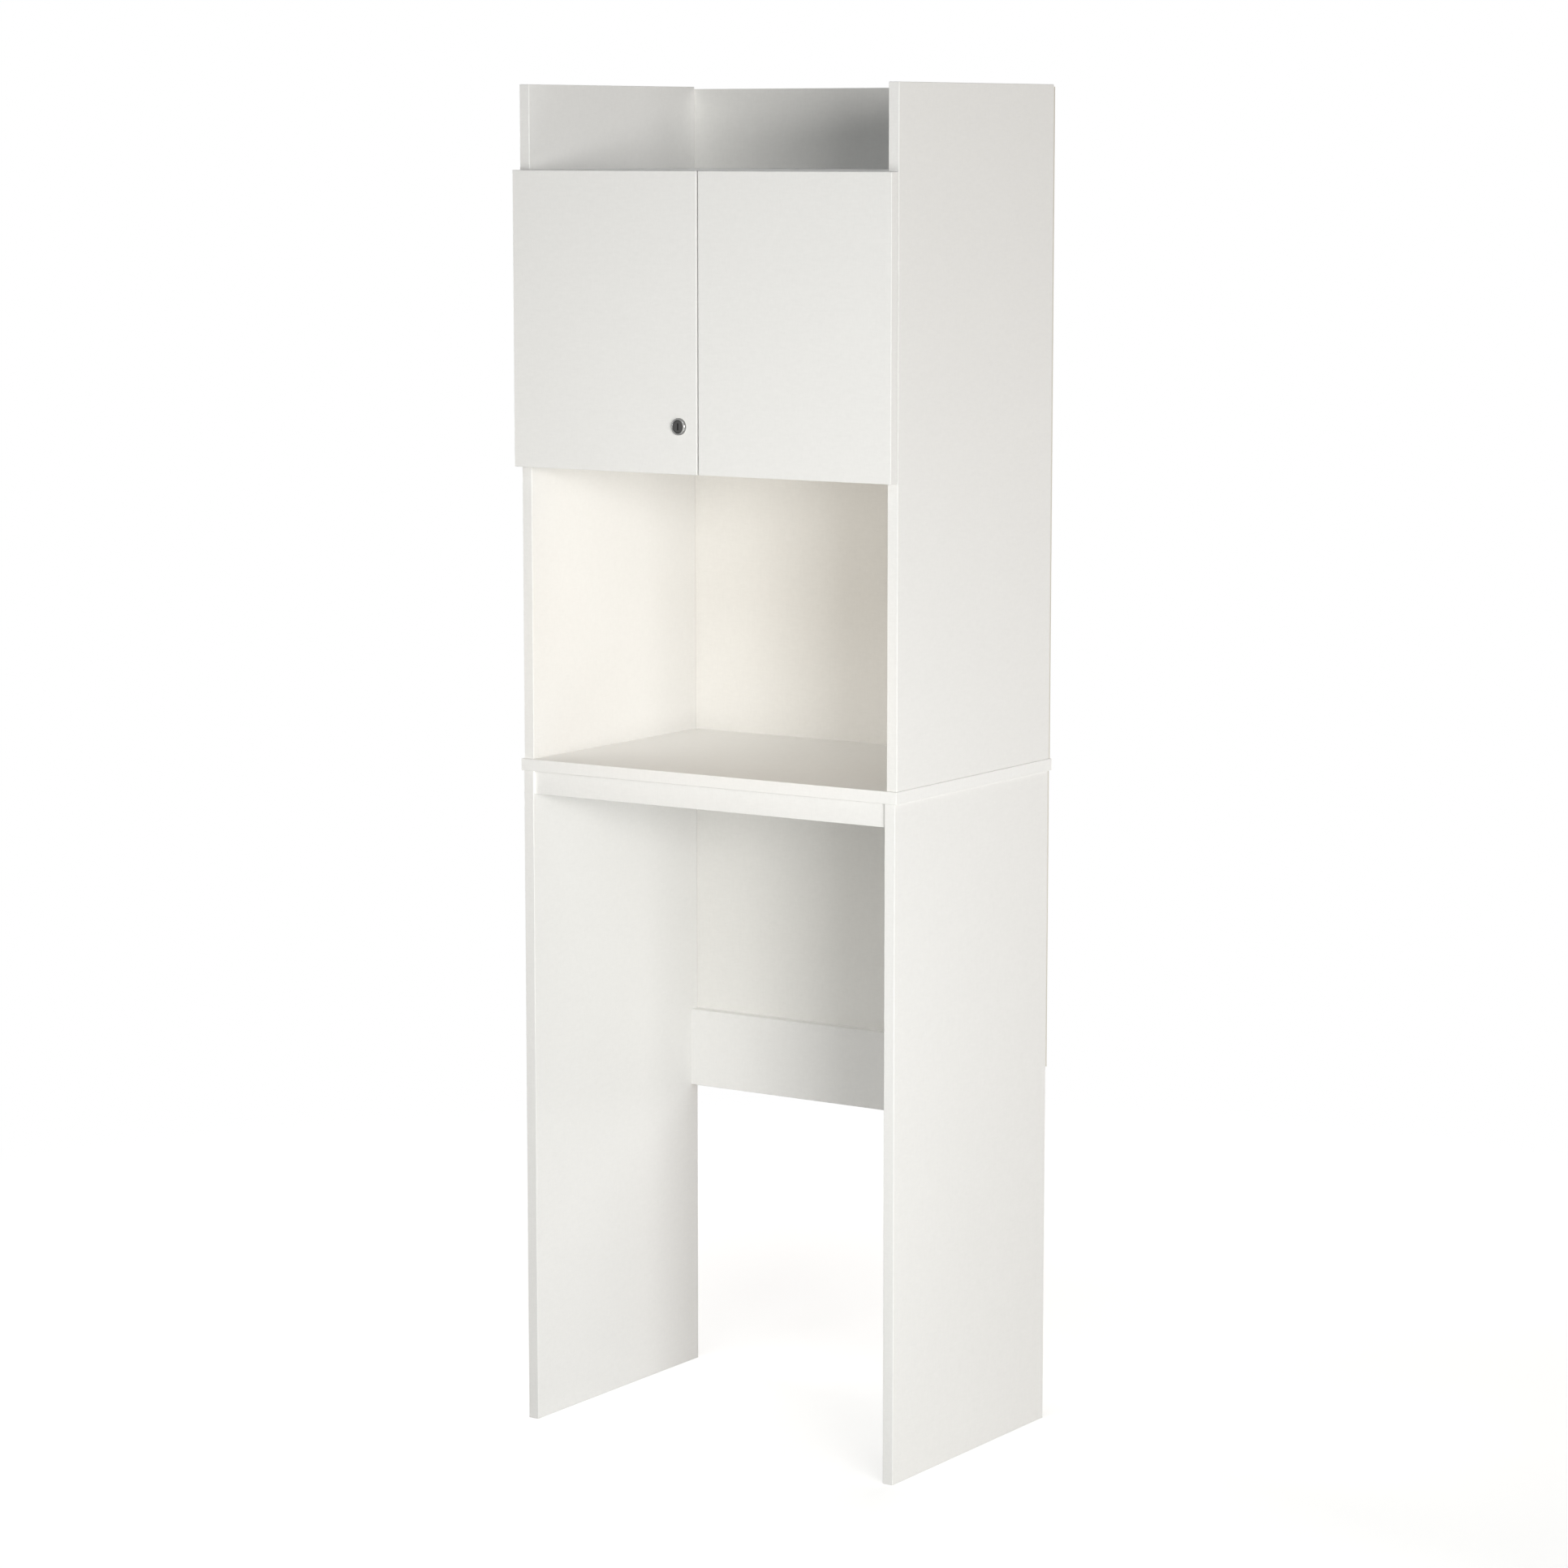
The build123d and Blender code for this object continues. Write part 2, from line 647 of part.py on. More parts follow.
# Hinges
for name, hand in sides.items():
    with BuildPart() as cups:
        with Locations(*cup_seats(hand)):
            rod(cup_r, cup_depth, out=False)
        for cup in cup_seats(hand):
            with BuildSketch(cup):
                Circle(cup_rim_r)
                with Locations(*[(-hand * cup_screw_back, end * cup_screw_apart / 2) for end in hands]):
                    Circle(cup_ear_r)
                make_hull()
            extrude(amount=cup_rim_t)
        for cup in cup_seats(hand):
            with BuildSketch(cup.offset(cup_rim_t)):
                Circle(cavity_r)
                Rectangle(2 * cavity_r, cavity_h, mode=Mode.INTERSECT)
            extrude(amount=-(cup_rim_t + cavity_depth), mode=Mode.SUBTRACT)
        with Locations(*pin_seats(hand, outer_cup_pin, inner_cup_pin)):
            Cylinder(hinge_pin_r + fit_clear, cup_pin_len, mode=Mode.SUBTRACT)
        pilots(cup_screw_seats(hand, cup_rim_t))
    save(cups.part, f"{name}_hinge_cups")

    with BuildPart() as cup_pins:
        with Locations(*pin_seats(hand, outer_cup_pin, inner_cup_pin)):
            Cylinder(hinge_pin_r, cup_pin_len)
    save(cup_pins.part, f"{name}_cup_pins")
    save(small_screws(cup_screw_seats(hand, cup_rim_t), cup_rim_t), f"{name}_cup_screws")

    with BuildPart() as outer_links:
        outer_bar = [at(hand, point) for point in (outer_arm_pin, *outer_link_bends, outer_cup_pin)]
        for z in hinge_zs:
            with BuildSketch(Plane.XY.offset(z)):
                bent_bar(outer_bar)
                eye(at(hand, outer_arm_pin), outer_arm_eye_r, hinge_pin_r + fit_clear)
                eye(at(hand, outer_cup_pin), cup_eye_r, hinge_pin_r + fit_clear)
            extrude(amount=outer_link_w / 2, both=True)
    save(outer_links.part, f"{name}_outer_links")

    with BuildPart() as inner_links:
        inner_bar = [at(hand, point) for point in (inner_arm_pin, *inner_link_bends, inner_cup_pin)]
        for z in hinge_zs:
            for end in hands:
                plate_mid = z + end * (fork_inside_w + fork_plate_t) / 2
                with BuildSketch(Plane.XY.offset(plate_mid)):
                    bent_bar(inner_bar)
                    eye(at(hand, inner_arm_pin), inner_arm_eye_r, hinge_pin_r + pin_drift + fit_clear)
                    eye(at(hand, inner_cup_pin), cup_eye_r, hinge_pin_r + fit_clear)
                extrude(amount=fork_plate_t / 2, both=True)
    save(inner_links.part, f"{name}_inner_links")

    with BuildPart() as arms:
        for z in hinge_zs:
            with BuildSketch(Plane.XY.offset(z)):
                with BuildLine():
                    Polyline(*[at(hand, point) for point in arm_nose + arm_back], close=True)
                make_face()
            extrude(amount=arm_inside_w / 2 + arm_wall_t, both=True)
        for z in hinge_zs:
            with BuildSketch(Plane.XY.offset(z)):
                with BuildLine():
                    Polyline(*[at(hand, point) for point in arm_mouth + arm_under_web], close=True)
                make_face()
            extrude(amount=arm_inside_w / 2, both=True, mode=Mode.SUBTRACT)
        with Locations(*pin_seats(hand, outer_arm_pin, inner_arm_pin)):
            Cylinder(hinge_pin_r + fit_clear, 2 * arm_inside_w, mode=Mode.SUBTRACT)
        pilots(arm_screw_seats(hand, arm_web_out))
    save(arms.part, f"{name}_hinge_arms")

    with BuildPart() as plates:
        for z in hinge_zs:
            with BuildSketch(seat(hand * hutch_inner, front_y + plate_screw_back, z, -hand, 0, 0)):
                Rectangle(plate_len, plate_h)
                SlotCenterToCenter(plate_screw_apart, 2 * plate_ear_r, rotation=90)
            extrude(amount=plate_t)
        for z in hinge_zs:
            block_h = arm_inside_w - 2 * fit_clear
            block_x = (hand * hutch_inner, hand * (hutch_inner - arm_web_in))
            block_y = (front_y + plate_block_from, front_y + plate_screw_back + plate_len / 2)
            block(block_x, block_y, (z - block_h / 2, z + block_h / 2))
        pilots(plate_screw_seats(hand, plate_t))
        with Locations(*arm_screw_seats(hand, arm_web_in)):
            Hole(small_screw_r + fit_clear, short_screw_in)
    save(plates.part, f"{name}_hinge_plates")

with BuildPart() as arm_pins:
    with Locations(*[s for hand in hands for s in pin_seats(hand, outer_arm_pin, inner_arm_pin)]):
        Cylinder(hinge_pin_r, arm_inside_w + 2 * arm_wall_t)
save(arm_pins.part, "hinge_arm_pins")

plate_screws = small_screws([s for hand in hands for s in plate_screw_seats(hand, plate_t)], plate_t)
save(plate_screws, "plate_screws")
arm_seats = [s for hand in hands for s in arm_screw_seats(hand, arm_web_out)]
save(small_screws(arm_seats, arm_web_out - arm_web_in, short_screw_in - fit_clear), "arm_screws")

# Lock: a domed housing held by a nut, a plug with a keyway, and a cam that drops behind a strike
with BuildPart() as lock_housing:
    with Locations(lock_seat(bezel_front_y)):
        rod(lock_bezel_r, lock_bezel_t)
        rod(lock_barrel_r, housing_back_y - bezel_front_y)
    fillet(lock_housing.edges().group_by(Axis.Y)[0], lock_bezel_round)
    with Locations(lock_seat(bezel_front_y)):
        rod(plug_body_r + fit_clear, housing_back_y - bezel_front_y, mode=Mode.SUBTRACT)
        rod(plug_face_r + fit_clear, plug_face_sunk + plug_face_t + fit_clear, mode=Mode.SUBTRACT)
        mouth_align = (Align.CENTER, Align.CENTER, Align.MIN)
        Cone(lock_mouth_r, plug_face_r + fit_clear, plug_face_sunk, align=mouth_align, mode=Mode.SUBTRACT)
save(lock_housing.part, "lock_housing")

with BuildPart() as lock_nut:
    with BuildSketch(lock_seat(door_back_y)):
        RegularPolygon(lock_nut_flats / 2, 6, major_radius=False)
        Circle(lock_barrel_r + fit_clear, mode=Mode.SUBTRACT)
    extrude(amount=lock_nut_t)
save(lock_nut.part, "lock_nut")

with BuildPart() as lock_plug:
    with Locations(lock_seat(bezel_front_y + plug_face_sunk)):
        rod(plug_face_r, plug_face_t)
    fillet(lock_plug.edges().group_by(Axis.Y)[0], arris_r)
    with Locations(lock_seat(housing_back_y)):
        rod(plug_body_r, housing_back_y - bezel_front_y - plug_face_sunk, out=False)
        Box(plug_drive_w, plug_drive_w, 2 * cam_arm_t)
    with Locations(lock_seat(bezel_front_y + plug_face_sunk)):
        Box(keyway_w, keyway_h, 2 * keyway_depth, mode=Mode.SUBTRACT)
    with Locations(lock_seat(cam_back_y)):
        Hole(small_screw_r + fit_clear, short_screw_in)
save(lock_plug.part, "lock_plug")

with BuildPart() as lock_cam:
    with BuildSketch(lock_seat(cam_front_y)):
        Circle(cam_hub_r)
        with Locations((cam_arm_w / 2 - cam_arm_reach, 0)):
            Circle(cam_arm_w / 2)
        make_hull()
        Rectangle(plug_drive_w + 2 * fit_clear, plug_drive_w + 2 * fit_clear, mode=Mode.SUBTRACT)
    extrude(amount=cam_arm_t)
save(lock_cam.part, "lock_cam")

with BuildPart() as lock_cam_screw:
    with Locations(lock_seat(cam_back_y)):
        rod(small_screw_r, short_screw_in - fit_clear, out=False)
        rod(cam_hub_r - arris_r, small_screw_head_t)
    with Locations(lock_seat(cam_back_y + small_screw_head_t)):
        Box(cam_hub_r, small_screw_slot_w, small_screw_head_t, mode=Mode.SUBTRACT)
save(lock_cam_screw.part, "lock_cam_screw")

with BuildPart() as strike:
    strike_x = (lock_x - strike_w / 2, lock_x + strike_w / 2)
    block(strike_x, (strike_y, strike_y + strike_t), (cupboard_floor, cupboard_floor + strike_h))
    block(strike_x, (strike_y, strike_y + strike_foot), (cupboard_floor, cupboard_floor + strike_t))
    fillet(strike.edges().filter_by(Axis.X).group_by(Axis.Z)[-1], arris_r)
    pilots(strike_screw_seats(strike_t))
save(strike.part, "lock_strike")
save(small_screws(strike_screw_seats(strike_t), strike_t), "lock_strike_screws")

# Bolt on the right door, which drops into the cupboard's floor
with BuildPart() as bolt_housing:
    plate_x = (bolt_x - bolt_plate_w / 2, bolt_x + bolt_plate_w / 2)
    guide_x = (bolt_x - bolt_guide_w / 2, bolt_x + bolt_guide_w / 2)
    slot_half = bolt_knob_r + bolt_slot_clear
    block(plate_x, (door_back_y, door_back_y + bolt_plate_t), guide_z)
    block(guide_x, (door_back_y, bolt_y + bolt_guide_w / 2), guide_z)
    fillet(bolt_housing.edges().filter_by(Axis.Z).group_by(Axis.Y)[-1], arris_r)
    with Locations(seat(bolt_x, bolt_y, guide_z[0], 0, 0, 1)):
        rod(bolt_rod_r + fit_clear, bolt_guide_h, mode=Mode.SUBTRACT)
    slot_z = (knob_z - bolt_stroke - slot_half, knob_z + slot_half)
    block((bolt_x - slot_half, bolt_x + slot_half), (bolt_y, bolt_y + bolt_guide_w), slot_z, Mode.SUBTRACT)
    pilots(bolt_screw_seats(bolt_plate_t))
save(bolt_housing.part, "bolt_housing")
save(small_screws(bolt_screw_seats(bolt_plate_t), bolt_plate_t), "bolt_screws")

with BuildPart() as bolt_rod:
    with Locations(seat(bolt_x, bolt_y, bolt_rod_low, 0, 0, 1)):
        rod(bolt_rod_r, bolt_rod_len)
    fillet(bolt_rod.edges(), arris_r)
    with Locations(seat(bolt_x, bolt_y, knob_z, 0, 1, 0)):
        rod(bolt_knob_r, bolt_guide_w / 2 + bolt_knob_len)
save(bolt_rod.part, "bolt_rod")
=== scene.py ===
import math

import bmesh
import bpy
from mathutils import Matrix, Vector


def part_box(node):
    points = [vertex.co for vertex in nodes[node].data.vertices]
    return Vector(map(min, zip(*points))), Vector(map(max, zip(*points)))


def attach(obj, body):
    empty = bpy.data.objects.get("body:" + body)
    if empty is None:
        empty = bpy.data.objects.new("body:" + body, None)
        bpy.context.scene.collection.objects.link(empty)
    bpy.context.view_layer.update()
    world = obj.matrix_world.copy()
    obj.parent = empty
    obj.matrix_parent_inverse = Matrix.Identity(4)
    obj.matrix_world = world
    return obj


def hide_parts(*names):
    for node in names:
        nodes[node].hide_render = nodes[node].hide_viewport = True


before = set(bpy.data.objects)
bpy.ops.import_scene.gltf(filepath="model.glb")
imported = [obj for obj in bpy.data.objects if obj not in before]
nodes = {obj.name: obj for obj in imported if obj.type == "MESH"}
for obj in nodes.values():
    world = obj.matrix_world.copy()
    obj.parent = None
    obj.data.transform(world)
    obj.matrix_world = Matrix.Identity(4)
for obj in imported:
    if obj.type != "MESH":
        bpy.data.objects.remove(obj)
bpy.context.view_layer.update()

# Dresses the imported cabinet: a finish for every board and fitting, a pale floor, lamps and the camera.
# Metres. X runs across the width, -Y is the front, +Z is up, and the floor is at zero.

print("frame loaded:", len(nodes), "nodes")


# Small helpers that the finishes share
def newFinish(name):
    finish = bpy.data.materials.new(name)
    finish.use_nodes = True
    finish.node_tree.nodes.clear()
    return finish, finish.node_tree


def addNode(tree, kind, values=None, **settings):
    node = tree.nodes.new("ShaderNode" + kind)
    for key, value in settings.items():
        setattr(node, key, value)
    for key, value in (values or {}).items():
        socket = node.inputs[key]
        if isinstance(value, bpy.types.NodeSocket):
            tree.links.new(value, socket)
        else:
            socket.default_value = value
    return node


def calc(tree, operation, *values):
    return addNode(tree, "Math", dict(enumerate(values)), operation=operation).outputs[0]


def mixColour(tree, factor, colourA, colourB):
    # inputs 6 and 7 and output 2 are the node's colour sockets
    values = {"Factor": factor, 6: colourA, 7: colourB}
    return addNode(tree, "Mix", values, data_type="RGBA").outputs[2]


def spread(tree, value, low, high):
    # a 0 to 1 value moved to a narrow band
    values = {"Value": value, "To Min": low, "To Max": high}
    return addNode(tree, "MapRange", values).outputs["Result"]


def grain(tree, place, scale, detail=2.0, roughness=0.5):
    values = {"Vector": place, "Scale": scale, "Detail": detail, "Roughness": roughness}
    return addNode(tree, "TexNoise", values).outputs["Fac"]


def objectPlace(tree):
    return addNode(tree, "TexCoord").outputs["Object"]


def stretched(tree, place, scale):
    return addNode(tree, "Mapping", {"Vector": place, "Scale": scale}).outputs["Vector"]


def bump(tree, height, strength, distance):
    values = {"Height": height, "Strength": strength, "Distance": distance}
    return addNode(tree, "Bump", values).outputs["Normal"]


threads = {"scale": 420.0, "along": (0.25, 0.25, 1.0), "upright": (1.0, 1.0, 0.25), "contrast": 0.05}


def weave(tree, place):
    # the fine crossed threads that a white board's paper shows, around a middle value of 1
    along = grain(tree, stretched(tree, place, threads["along"]), threads["scale"])
    upright = grain(tree, stretched(tree, place, threads["upright"]), threads["scale"])
    both = calc(tree, "ADD", along, upright)
    return calc(tree, "MULTIPLY_ADD", both, threads["contrast"], 1.0 - threads["contrast"])


def toned(tree, colour, amount):
    return addNode(tree, "VectorMath", {0: colour, "Scale": amount}, operation="SCALE").outputs[0]


def closeFinish(tree, values):
    surface = addNode(tree, "BsdfPrincipled", values)
    addNode(tree, "OutputMaterial", {"Surface": surface.outputs["BSDF"]})


def dress(names, finish):
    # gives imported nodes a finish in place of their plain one
    for name in names:
        slots = nodes[name].data.materials
        slots.clear()
        slots.append(finish)


# White laminated board
board = {
    "colour": (0.895, 0.891, 0.877, 1.0),
    "paler": (0.91, 0.906, 0.892, 1.0),
    "roughness": (0.40, 0.50),
    "bareRougher": 0.4,
    "mirror": 0.2,
    "worktopMirror": 0.8,
    "cloudScale": 5.0,
    "pebbleScale": 900.0,
    "pebbleDepth": 0.00006,
    "relief": 0.3,
    "chip": (0.50, 0.36, 0.22, 1.0),
    "chipDark": (0.22, 0.14, 0.08, 1.0),
    "chipScale": 420.0,
    "skin": 0.0007,
    "squareOn": 0.8,
}


def boardFinish(name, rawBack, rawFoot, mirror):
    # white outside, with bare particle board in the drilled holes and on the edges left untaped
    finish, tree = newFinish(name + "Laminate")
    place = objectPlace(tree)
    low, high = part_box(name)
    middle, half = (low + high) / 2, (high - low) / 2
    inward = addNode(tree, "VectorMath", {0: place, 1: middle}, operation="SUBTRACT").outputs[0]
    inward = addNode(tree, "VectorMath", {0: inward}, operation="ABSOLUTE").outputs[0]
    inward = addNode(tree, "VectorMath", {0: half, 1: inward}, operation="SUBTRACT").outputs[0]
    sides = addNode(tree, "SeparateXYZ", {0: inward}).outputs
    depth = calc(tree, "MINIMUM", calc(tree, "MINIMUM", sides[0], sides[1]), sides[2])
    bare = calc(tree, "GREATER_THAN", depth, board["skin"])
    facing = addNode(tree, "SeparateXYZ", {0: addNode(tree, "TexCoord").outputs["Normal"]}).outputs
    if rawBack:
        bare = calc(tree, "MAXIMUM", bare, calc(tree, "GREATER_THAN", facing[1], board["squareOn"]))
    if rawFoot:
        bare = calc(tree, "MAXIMUM", bare, calc(tree, "LESS_THAN", facing[2], -board["squareOn"]))

    cloud = grain(tree, place, board["cloudScale"])
    pebble = grain(tree, place, board["pebbleScale"], 1.0)
    woven = weave(tree, place)
    white = toned(tree, mixColour(tree, cloud, board["colour"], board["paler"]), woven)
    flake = addNode(tree, "TexVoronoi", {"Vector": place, "Scale": board["chipScale"]}).outputs
    flakeTone = addNode(tree, "SeparateColor", {0: flake["Color"]}).outputs[0]
    chips = mixColour(tree, flakeTone, board["chip"], board["chipDark"])
    rough = spread(tree, pebble, *board["roughness"])
    relief = calc(tree, "MULTIPLY_ADD", bare, flakeTone, calc(tree, "ADD", pebble, woven))
    closeFinish(tree, {
        "Base Color": mixColour(tree, bare, white, chips),
        "Roughness": calc(tree, "MULTIPLY_ADD", bare, board["bareRougher"], rough),
        "Specular IOR Level": mirror,
        "Normal": bump(tree, relief, board["relief"], board["pebbleDepth"]),
    })
    return finish


boards = {  # whether the back edge and the foot are left untaped
    "base_left_side": (True, True),
    "base_right_side": (True, True),
    "front_rail": (False, False),
    "back_rail": (False, True),
    "worktop": (False, False),
    "hutch_left_side": (True, False),
    "hutch_right_side": (True, False),
    "cabinet_bottom": (True, False),
    "cabinet_top": (True, False),
    "adjustable_shelf": (False, False),
    "left_door": (False, False),
    "right_door": (False, False),
}
for name, (rawBack, rawFoot) in boards.items():
    mirror = board["worktopMirror" if name == "worktop" else "mirror"]
    dress([name], boardFinish(name, rawBack, rawFoot, mirror))
print("boards dressed")


# Hardboard backs: printed white inside, bare brown behind
hardboard = {
    "white": (0.885, 0.878, 0.855, 1.0),
    "paler": (0.90, 0.893, 0.87, 1.0),
    "brown": (0.33, 0.205, 0.115, 1.0),
    "darker": (0.24, 0.145, 0.08, 1.0),
    "edge": (0.70, 0.67, 0.61, 1.0),
    "cloudScale": 5.0,
    "blotchScale": 9.0,
    "blotchDetail": 5.0,
    "blotchShade": (-0.3, 0.9),
    "fibreScale": 260.0,
    "fibreStretch": (1.0, 1.0, 0.35),
    "fibreDetail": (6.0, 0.7),
    "fibreShade": (-0.5, 0.9),
    "pebbleScale": 700.0,
    "pebbleDepth": 0.00008,
    "relief": 0.3,
    "roughness": (0.45, 0.55),
    "bareRougher": 0.3,
    "mirror": 0.2,
    "squareOn": 0.5,
}


def hardboardFinish():
    finish, tree = newFinish("paintedHardboard")
    place = objectPlace(tree)
    facing = addNode(tree, "SeparateXYZ", {0: addNode(tree, "TexCoord").outputs["Normal"]}).outputs
    behind = calc(tree, "GREATER_THAN", facing[1], hardboard["squareOn"])
    inFront = calc(tree, "LESS_THAN", facing[1], -hardboard["squareOn"])
    cloud = grain(tree, place, hardboard["cloudScale"])
    pebble = grain(tree, place, hardboard["pebbleScale"], 1.0)
    upright = stretched(tree, place, hardboard["fibreStretch"])
    fibre = grain(tree, upright, hardboard["fibreScale"], *hardboard["fibreDetail"])
    white = mixColour(tree, cloud, hardboard["white"], hardboard["paler"])
    white = toned(tree, white, weave(tree, place))
    blotch = grain(tree, place, hardboard["blotchScale"], hardboard["blotchDetail"])
    streaks = spread(tree, fibre, *hardboard["fibreShade"])
    shade = calc(tree, "ADD", streaks, spread(tree, blotch, *hardboard["blotchShade"]))
    brown = mixColour(tree, shade, hardboard["darker"], hardboard["brown"])
    colour = mixColour(tree, inFront, hardboard["edge"], white)
    relief = calc(tree, "ADD", pebble, fibre)
    rough = spread(tree, pebble, *hardboard["roughness"])
    closeFinish(tree, {
        "Base Color": mixColour(tree, behind, colour, brown),
        "Roughness": calc(tree, "MULTIPLY_ADD", behind, hardboard["bareRougher"], rough),
        "Specular IOR Level": hardboard["mirror"],
        "Normal": bump(tree, relief, hardboard["relief"], hardboard["pebbleDepth"]),
    })
    return finish


dress(["base_back_panel", "hutch_back_panel"], hardboardFinish())
print("backs dressed")


# Metal fittings, all from one recipe: a colour, a roughness and a fine scratch pattern
metals = {
    "zincCasting": {
        "colour": (0.36, 0.36, 0.37), "roughness": (0.42, 0.58), "scale": 900.0, "stretch": (1, 1, 1),
    },
    "zincPlate": {
        "colour": (0.50, 0.51, 0.53), "roughness": (0.28, 0.36), "scale": 700.0, "stretch": (1, 1, 6),
    },
    "nickelPlate": {
        "colour": (0.55, 0.535, 0.51), "roughness": (0.20, 0.27), "scale": 700.0, "stretch": (1, 1, 8),
    },
    "lockChrome": {
        "colour": (0.27, 0.27, 0.265), "roughness": (0.14, 0.21), "scale": 500.0, "stretch": (1, 1, 1),
    },
    "lockSteel": {
        "colour": (0.075, 0.075, 0.074), "roughness": (0.22, 0.45), "scale": 900.0, "stretch": (1, 1, 1),
    },
    "boltSteel": {
        "colour": (0.48, 0.49, 0.50), "roughness": (0.22, 0.36), "scale": 700.0, "stretch": (6, 6, 1),
    },
}
scratches = {"detail": (4.0, 0.6), "tint": 0.93, "relief": 0.1, "depth": 0.00003}


def metalFinish(name):
    look = metals[name]
    finish, tree = newFinish(name)
    place = stretched(tree, objectPlace(tree), look["stretch"])
    scratch = grain(tree, place, look["scale"], *scratches["detail"])
    dark = [scratches["tint"] * channel for channel in look["colour"]] + [1.0]
    closeFinish(tree, {
        "Base Color": mixColour(tree, scratch, dark, [*look["colour"], 1.0]),
        "Metallic": 1.0,
        "Roughness": spread(tree, scratch, *look["roughness"]),
        "Normal": bump(tree, scratch, scratches["relief"], scratches["depth"]),
    })
    return finish


metalLooks = {name: metalFinish(name) for name in metals}
hingeNodes = [
    side + piece
    for side in ("left", "right")
    for piece in (
        "_hinge_cups", "_cup_pins", "_outer_links",
        "_inner_links", "_hinge_arms", "_hinge_plates",
    )
]
platedNodes = [
    "cam_bolts", "worktop_screws", "back_panel_nails", "shelf_pins", "plate_screws", "arm_screws",
    "left_cup_screws", "right_cup_screws", "lock_strike_screws", "bolt_screws",
    "lock_nut", "lock_cam", "lock_cam_screw",
]
dress(["cam_fittings", "lock_strike"], metalLooks["zincCasting"])
dress(platedNodes, metalLooks["zincPlate"])
dress(hingeNodes + ["hinge_arm_pins"], metalLooks["nickelPlate"])
dress(["lock_housing"], metalLooks["lockChrome"])
dress(["lock_plug"], metalLooks["lockSteel"])
dress(["bolt_rod"], metalLooks["boltSteel"])
print("metal dressed")


# The few pieces of plastic, rubber and wood
softer = {
    "boltPlastic": {
        "colour": (0.80, 0.80, 0.785), "tint": 0.97, "roughness": (0.38, 0.50), "scale": 500.0,
    },
    "bumperRubber": {
        "colour": (0.62, 0.62, 0.60), "tint": 0.95, "roughness": (0.3, 0.4), "scale": 600.0,
    },
    "beechDowel": {
        "colour": (0.62, 0.44, 0.26), "tint": 0.7, "roughness": (0.6, 0.75), "scale": 300.0,
    },
}
specks = {"detail": 3.0, "relief": 0.15, "depth": 0.00005}


def softerFinish(name):
    look = softer[name]
    finish, tree = newFinish(name)
    speck = grain(tree, objectPlace(tree), look["scale"], specks["detail"])
    shade = [look["tint"] * channel for channel in look["colour"]] + [1.0]
    closeFinish(tree, {
        "Base Color": mixColour(tree, speck, shade, [*look["colour"], 1.0]),
        "Roughness": spread(tree, speck, *look["roughness"]),
        "Normal": bump(tree, speck, specks["relief"], specks["depth"]),
    })
    return finish


softerLooks = {name: softerFinish(name) for name in softer}
dress(["bolt_housing"], softerLooks["boltPlastic"])
dress(["left_door_bumpers", "right_door_bumpers"], softerLooks["bumperRubber"])
dress(["dowels"], softerLooks["beechDowel"])
print("plastic, rubber and wood dressed")


# Turned pieces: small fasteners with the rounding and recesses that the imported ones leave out
millimetre = 0.001
sameSpot = 0.002 * millimetre
sharpFrom = math.radians(32)


def turned(profile, closed=False, steps=40):
    # a shape spun round its own Z from (radius, height) pairs in millimetres
    shape = bmesh.new()
    rings = []
    for radius, height in profile:
        if radius:
            turns = [2 * math.pi * step / steps for step in range(steps)]
            points = [(radius * math.cos(turn), radius * math.sin(turn), height) for turn in turns]
        else:
            points = [(0, 0, height)]
        rings.append([shape.verts.new(Vector(point) * millimetre) for point in points])
    pairs = list(zip(rings, rings[1:])) + ([(rings[-1], rings[0])] if closed else [])
    for ringA, ringB in pairs:
        for step in range(steps):
            corners = [ringA[step % len(ringA)], ringA[(step + 1) % len(ringA)],
                       ringB[(step + 1) % len(ringB)], ringB[step % len(ringB)]]
            shape.faces.new(dict.fromkeys(corners))
    bmesh.ops.recalc_face_normals(shape, faces=shape.faces)
    mesh = bpy.data.meshes.new("turnedShape")
    shape.to_mesh(mesh)
    shape.free()
    return mesh


def prism(sections):
    # a solid through stacked outlines, each a height and its corners, in millimetres
    shape = bmesh.new()
    rings = []
    for height, corners in sections:
        rings.append([shape.verts.new(Vector((x, y, height)) * millimetre) for x, y in corners])
    for ringA, ringB in zip(rings, rings[1:]):
        for step in range(len(ringA)):
            after = (step + 1) % len(ringA)
            shape.faces.new((ringA[step], ringA[after], ringB[after], ringB[step]))
    shape.faces.new(rings[0])
    shape.faces.new(rings[-1])
    bmesh.ops.recalc_face_normals(shape, faces=shape.faces)
    mesh = bpy.data.meshes.new("prismShape")
    shape.to_mesh(mesh)
    shape.free()
    return mesh


def carved(mesh, tool, operation="DIFFERENCE"):
    # the first shape with the second cut away, or kept only where both are
    stock = bpy.data.objects.new("carvingStock", mesh)
    cutter = bpy.data.objects.new("carvingTool", tool)
    for item in (stock, cutter):
        bpy.context.scene.collection.objects.link(item)
    cut = stock.modifiers.new("cut", "BOOLEAN")
    cut.operation, cut.object, cut.solver = operation, cutter, "EXACT"
    result = bpy.data.meshes.new_from_object(stock.evaluated_get(bpy.context.evaluated_depsgraph_get()))
    for item in (stock, cutter):
        bpy.data.objects.remove(item)
    return result


